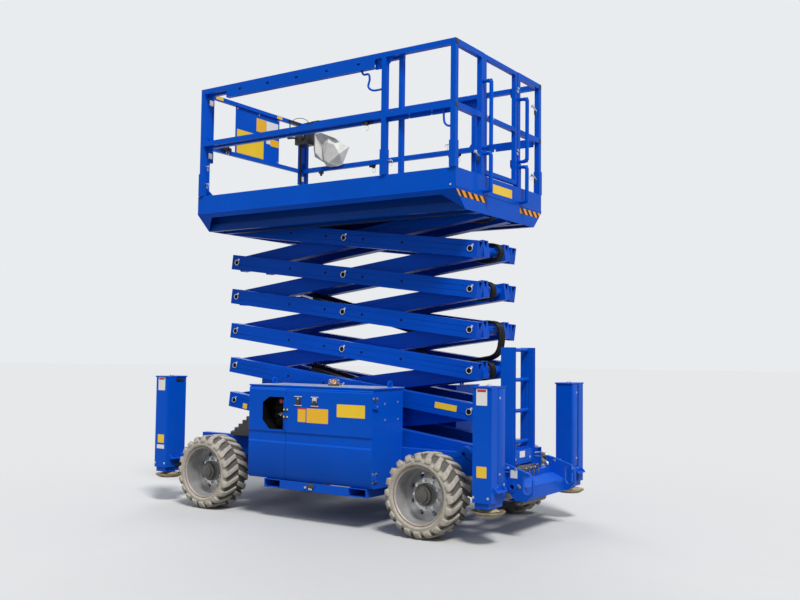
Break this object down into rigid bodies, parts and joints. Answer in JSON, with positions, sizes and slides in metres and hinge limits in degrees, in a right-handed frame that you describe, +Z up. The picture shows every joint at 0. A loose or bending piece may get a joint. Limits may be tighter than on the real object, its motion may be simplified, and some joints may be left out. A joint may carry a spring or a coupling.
{
  "type": "rough-terrain scissor lift",
  "caption": "Rough-terrain scissor lift with a raised platform, guard rails, stabiliser columns, a side engine box and cleated tyres.",
  "frame": {"origin": "on the ground, under the middle of the machine's overall length and width", "axes": "+X towards the steered front end, +Y towards the engine box, +Z up"},
  "size_m": [3.7296, 1.756, 3.846],
  "materials": {
    "blue_paint": "gloss",
    "dark_steel": "satin",
    "tyre": "matt",
    "rim": "satin",
    "chrome": "polished",
    "black_plastic": "matt",
    "amber": "gloss",
    "cast": "rough",
    "cover_cloth": "matt"
  },
  "bodies": {
    "chassis": {"chassis_frame": "blue_paint", "fork_pockets": "blue_paint", "outrigger_beams": "blue_paint", "outrigger_columns": "blue_paint", "rear_lug_beam": "blue_paint", "ladder": "blue_paint", "front_cover": "black_plastic", "engine_box": "blue_paint", "service_box": "blue_paint", "control_panel": "black_plastic", "engine_block": "cast", "tank_block": "cast", "beacon": "amber", "lifting_eyes": "blue_paint", "front_axle": "dark_steel", "rear_axle": "dark_steel"},
    "outer_arms_1": {"outer_arms_1": "blue_paint"},
    "inner_arms_1": {"inner_arms_1": "blue_paint"},
    "outer_arms_2": {"outer_arms_2": "blue_paint"},
    "inner_arms_2": {"inner_arms_2": "blue_paint"},
    "outer_arms_3": {"outer_arms_3": "blue_paint"},
    "inner_arms_3": {"inner_arms_3": "blue_paint"},
    "outer_arms_4": {"outer_arms_4": "blue_paint"},
    "inner_arms_4": {"inner_arms_4": "blue_paint"},
    "outer_arms_5": {"outer_arms_5": "blue_paint"},
    "inner_arms_5": {"inner_arms_5": "blue_paint"},
    "outer_arms_6": {"outer_arms_6": "blue_paint"},
    "inner_arms_6": {"inner_arms_6": "blue_paint"},
    "platform": {"platform_deck": "blue_paint", "deck_beams": "blue_paint", "guard_rails": "blue_paint"},
    "lift_barrel_1": {"lift_barrel_1": "dark_steel"},
    "lift_rod_1": {"lift_rod_1": "chrome"},
    "lift_barrel_2": {"lift_barrel_2": "dark_steel"},
    "lift_rod_2": {"lift_rod_2": "chrome"},
    "knuckle_left": {"knuckle_left": "dark_steel"},
    "knuckle_right": {"knuckle_right": "dark_steel"},
    "tie_rod": {"tie_rod": "dark_steel"},
    "wheel_front_left": {"tyre_front_left": "tyre", "rim_front_left": "rim"},
    "wheel_front_right": {"tyre_front_right": "tyre", "rim_front_right": "rim"},
    "wheel_rear_left": {"tyre_rear_left": "tyre", "rim_rear_left": "rim"},
    "wheel_rear_right": {"tyre_rear_right": "tyre", "rim_rear_right": "rim"},
    "leg_front_left": {"outrigger_leg_front_left": "blue_paint"},
    "leg_front_right": {"outrigger_leg_front_right": "blue_paint"},
    "leg_rear_left": {"outrigger_leg_rear_left": "blue_paint"},
    "leg_rear_right": {"outrigger_leg_rear_right": "blue_paint"},
    "engine_door": {"engine_door": "blue_paint"},
    "service_door": {"service_door": "blue_paint"},
    "extension": {"extension_deck": "blue_paint", "extension_rails": "blue_paint", "sign_panel": "blue_paint", "console": "black_plastic", "console_cover": "cover_cloth"},
    "entry_gate": {"entry_gate": "blue_paint"}
  },
  "joints": [
    {"name": "lift", "type": "hinge", "parent": "chassis", "child": "outer_arms_1", "pos_m": [-1.26825, 0, 0.615], "axis": [0, -1, 0], "range_deg": [-3.9, 38]},
    {"name": "arm_cross_1", "type": "hinge", "parent": "outer_arms_1", "child": "inner_arms_1", "pos_m": [0.01525, 0, 0.779], "axis": [0, -1, 0], "range_deg": [-84, 15.8]},
    {"name": "arm_pivot_2", "type": "hinge", "parent": "inner_arms_1", "child": "outer_arms_2", "pos_m": [-1.26825, 0, 0.943], "axis": [0, -1, 0], "range_deg": [-15.8, 84]},
    {"name": "arm_cross_2", "type": "hinge", "parent": "outer_arms_2", "child": "inner_arms_2", "pos_m": [0.01525, 0, 1.107], "axis": [0, -1, 0], "range_deg": [-84, 15.8]},
    {"name": "arm_pivot_3", "type": "hinge", "parent": "inner_arms_2", "child": "outer_arms_3", "pos_m": [-1.26825, 0, 1.271], "axis": [0, -1, 0], "range_deg": [-15.8, 84]},
    {"name": "arm_cross_3", "type": "hinge", "parent": "outer_arms_3", "child": "inner_arms_3", "pos_m": [0.01525, 0, 1.435], "axis": [0, -1, 0], "range_deg": [-84, 15.8]},
    {"name": "arm_pivot_4", "type": "hinge", "parent": "inner_arms_3", "child": "outer_arms_4", "pos_m": [-1.26825, 0, 1.599], "axis": [0, -1, 0], "range_deg": [-15.8, 84]},
    {"name": "arm_cross_4", "type": "hinge", "parent": "outer_arms_4", "child": "inner_arms_4", "pos_m": [0.01525, 0, 1.763], "axis": [0, -1, 0], "range_deg": [-84, 15.8]},
    {"name": "arm_pivot_5", "type": "hinge", "parent": "inner_arms_4", "child": "outer_arms_5", "pos_m": [-1.26825, 0, 1.927], "axis": [0, -1, 0], "range_deg": [-15.8, 84]},
    {"name": "arm_cross_5", "type": "hinge", "parent": "outer_arms_5", "child": "inner_arms_5", "pos_m": [0.01525, 0, 2.091], "axis": [0, -1, 0], "range_deg": [-84, 15.8]},
    {"name": "arm_pivot_6", "type": "hinge", "parent": "inner_arms_5", "child": "outer_arms_6", "pos_m": [-1.26825, 0, 2.255], "axis": [0, -1, 0], "range_deg": [-15.8, 84]},
    {"name": "arm_cross_6", "type": "hinge", "parent": "outer_arms_6", "child": "inner_arms_6", "pos_m": [0.01525, 0, 2.419], "axis": [0, -1, 0], "range_deg": [-84, 15.8]},
    {"name": "platform_level", "type": "hinge", "parent": "inner_arms_6", "child": "platform", "pos_m": [-1.26825, 0, 2.583], "axis": [0, -1, 0], "range_deg": [-11.9, 46]},
    {"name": "cylinder_foot_1", "type": "hinge", "parent": "inner_arms_1", "child": "lift_barrel_1", "pos_m": [-0.83186, 0, 0.88724], "axis": [0, -1, 0], "range_deg": [-17, 95.65]},
    {"name": "cylinder_rod_1", "type": "slide", "parent": "lift_barrel_1", "child": "lift_rod_1", "axis": [0.9665, 0, 0.2565], "range_m": [-0.2051, 1.2739]},
    {"name": "cylinder_foot_2", "type": "hinge", "parent": "inner_arms_3", "child": "lift_barrel_2", "pos_m": [-0.83186, 0, 1.54324], "axis": [0, -1, 0], "range_deg": [-17, 95.65]},
    {"name": "cylinder_rod_2", "type": "slide", "parent": "lift_barrel_2", "child": "lift_rod_2", "axis": [0.9665, 0, 0.2565], "range_m": [-0.2051, 1.2739]},
    {"name": "steer_left", "type": "hinge", "parent": "chassis", "child": "knuckle_left", "pos_m": [1.16025, 0.56, 0.325], "axis": [0, 0, 1], "range_deg": [-30, 30]},
    {"name": "steer_right", "type": "hinge", "parent": "chassis", "child": "knuckle_right", "pos_m": [1.16025, -0.56, 0.325], "axis": [0, 0, 1], "range_deg": [-30, 30]},
    {"name": "tie_rod_pivot", "type": "hinge", "parent": "knuckle_left", "child": "tie_rod", "pos_m": [0.98525, 0.56, 0.325], "axis": [0, 0, 1], "range_deg": [-30, 30]},
    {"name": "wheel_front_left_spin", "type": "hinge", "parent": "knuckle_left", "child": "wheel_front_left", "pos_m": [1.16025, 0.7305, 0.325], "axis": [0, 1, 0], "continuous": true},
    {"name": "wheel_front_right_spin", "type": "hinge", "parent": "knuckle_right", "child": "wheel_front_right", "pos_m": [1.16025, -0.7305, 0.325], "axis": [0, 1, 0], "continuous": true},
    {"name": "wheel_rear_left_spin", "type": "hinge", "parent": "chassis", "child": "wheel_rear_left", "pos_m": [-1.12975, 0.7305, 0.325], "axis": [0, 1, 0], "continuous": true},
    {"name": "wheel_rear_right_spin", "type": "hinge", "parent": "chassis", "child": "wheel_rear_right", "pos_m": [-1.12975, -0.7305, 0.325], "axis": [0, 1, 0], "continuous": true},
    {"name": "leg_front_left_slide", "type": "slide", "parent": "chassis", "child": "leg_front_left", "axis": [0, 0, -1], "range_m": [0, 0.5]},
    {"name": "leg_front_right_slide", "type": "slide", "parent": "chassis", "child": "leg_front_right", "axis": [0, 0, -1], "range_m": [0, 0.5]},
    {"name": "leg_rear_left_slide", "type": "slide", "parent": "chassis", "child": "leg_rear_left", "axis": [0, 0, -1], "range_m": [0, 0.5]},
    {"name": "leg_rear_right_slide", "type": "slide", "parent": "chassis", "child": "leg_rear_right", "axis": [0, 0, -1], "range_m": [0, 0.5]},
    {"name": "engine_door_hinge", "type": "hinge", "parent": "chassis", "child": "engine_door", "pos_m": [-0.70675, 0.828, 0.7], "axis": [0, 0, 1], "range_deg": [0, 110]},
    {"name": "service_door_hinge", "type": "hinge", "parent": "chassis", "child": "service_door", "pos_m": [-0.70675, -0.828, 0.7], "axis": [0, 0, -1], "range_deg": [0, 110]},
    {"name": "extension_slide", "type": "slide", "parent": "platform", "child": "extension", "axis": [1, 0, 0], "range_m": [0, 1.5]},
    {"name": "gate_hinge", "type": "hinge", "parent": "platform", "child": "entry_gate", "pos_m": [-1.31075, -0.302, 3.3], "axis": [0, 0, -1], "range_deg": [0, 90]}
  ],
  "couplings": [
    {"joint": "arm_cross_1", "follows": "lift", "ratio": -2},
    {"joint": "arm_pivot_2", "follows": "lift", "ratio": 2},
    {"joint": "arm_cross_2", "follows": "lift", "ratio": -2},
    {"joint": "arm_pivot_3", "follows": "lift", "ratio": 2},
    {"joint": "arm_cross_3", "follows": "lift", "ratio": -2},
    {"joint": "arm_pivot_4", "follows": "lift", "ratio": 2},
    {"joint": "arm_cross_4", "follows": "lift", "ratio": -2},
    {"joint": "arm_pivot_5", "follows": "lift", "ratio": 2},
    {"joint": "arm_cross_5", "follows": "lift", "ratio": -2},
    {"joint": "arm_pivot_6", "follows": "lift", "ratio": 2},
    {"joint": "arm_cross_6", "follows": "lift", "ratio": -2},
    {"joint": "platform_level", "follows": "lift", "ratio": 1},
    {"joint": "cylinder_foot_1", "follows": "lift", "ratio": 2.3065},
    {"joint": "cylinder_rod_1", "follows": "lift", "m_per_rad": 1.5438},
    {"joint": "cylinder_foot_2", "follows": "lift", "ratio": 2.3065},
    {"joint": "cylinder_rod_2", "follows": "lift", "m_per_rad": 1.5438},
    {"joint": "steer_right", "follows": "steer_left", "ratio": 1},
    {"joint": "tie_rod_pivot", "follows": "steer_left", "ratio": -1}
  ]
}
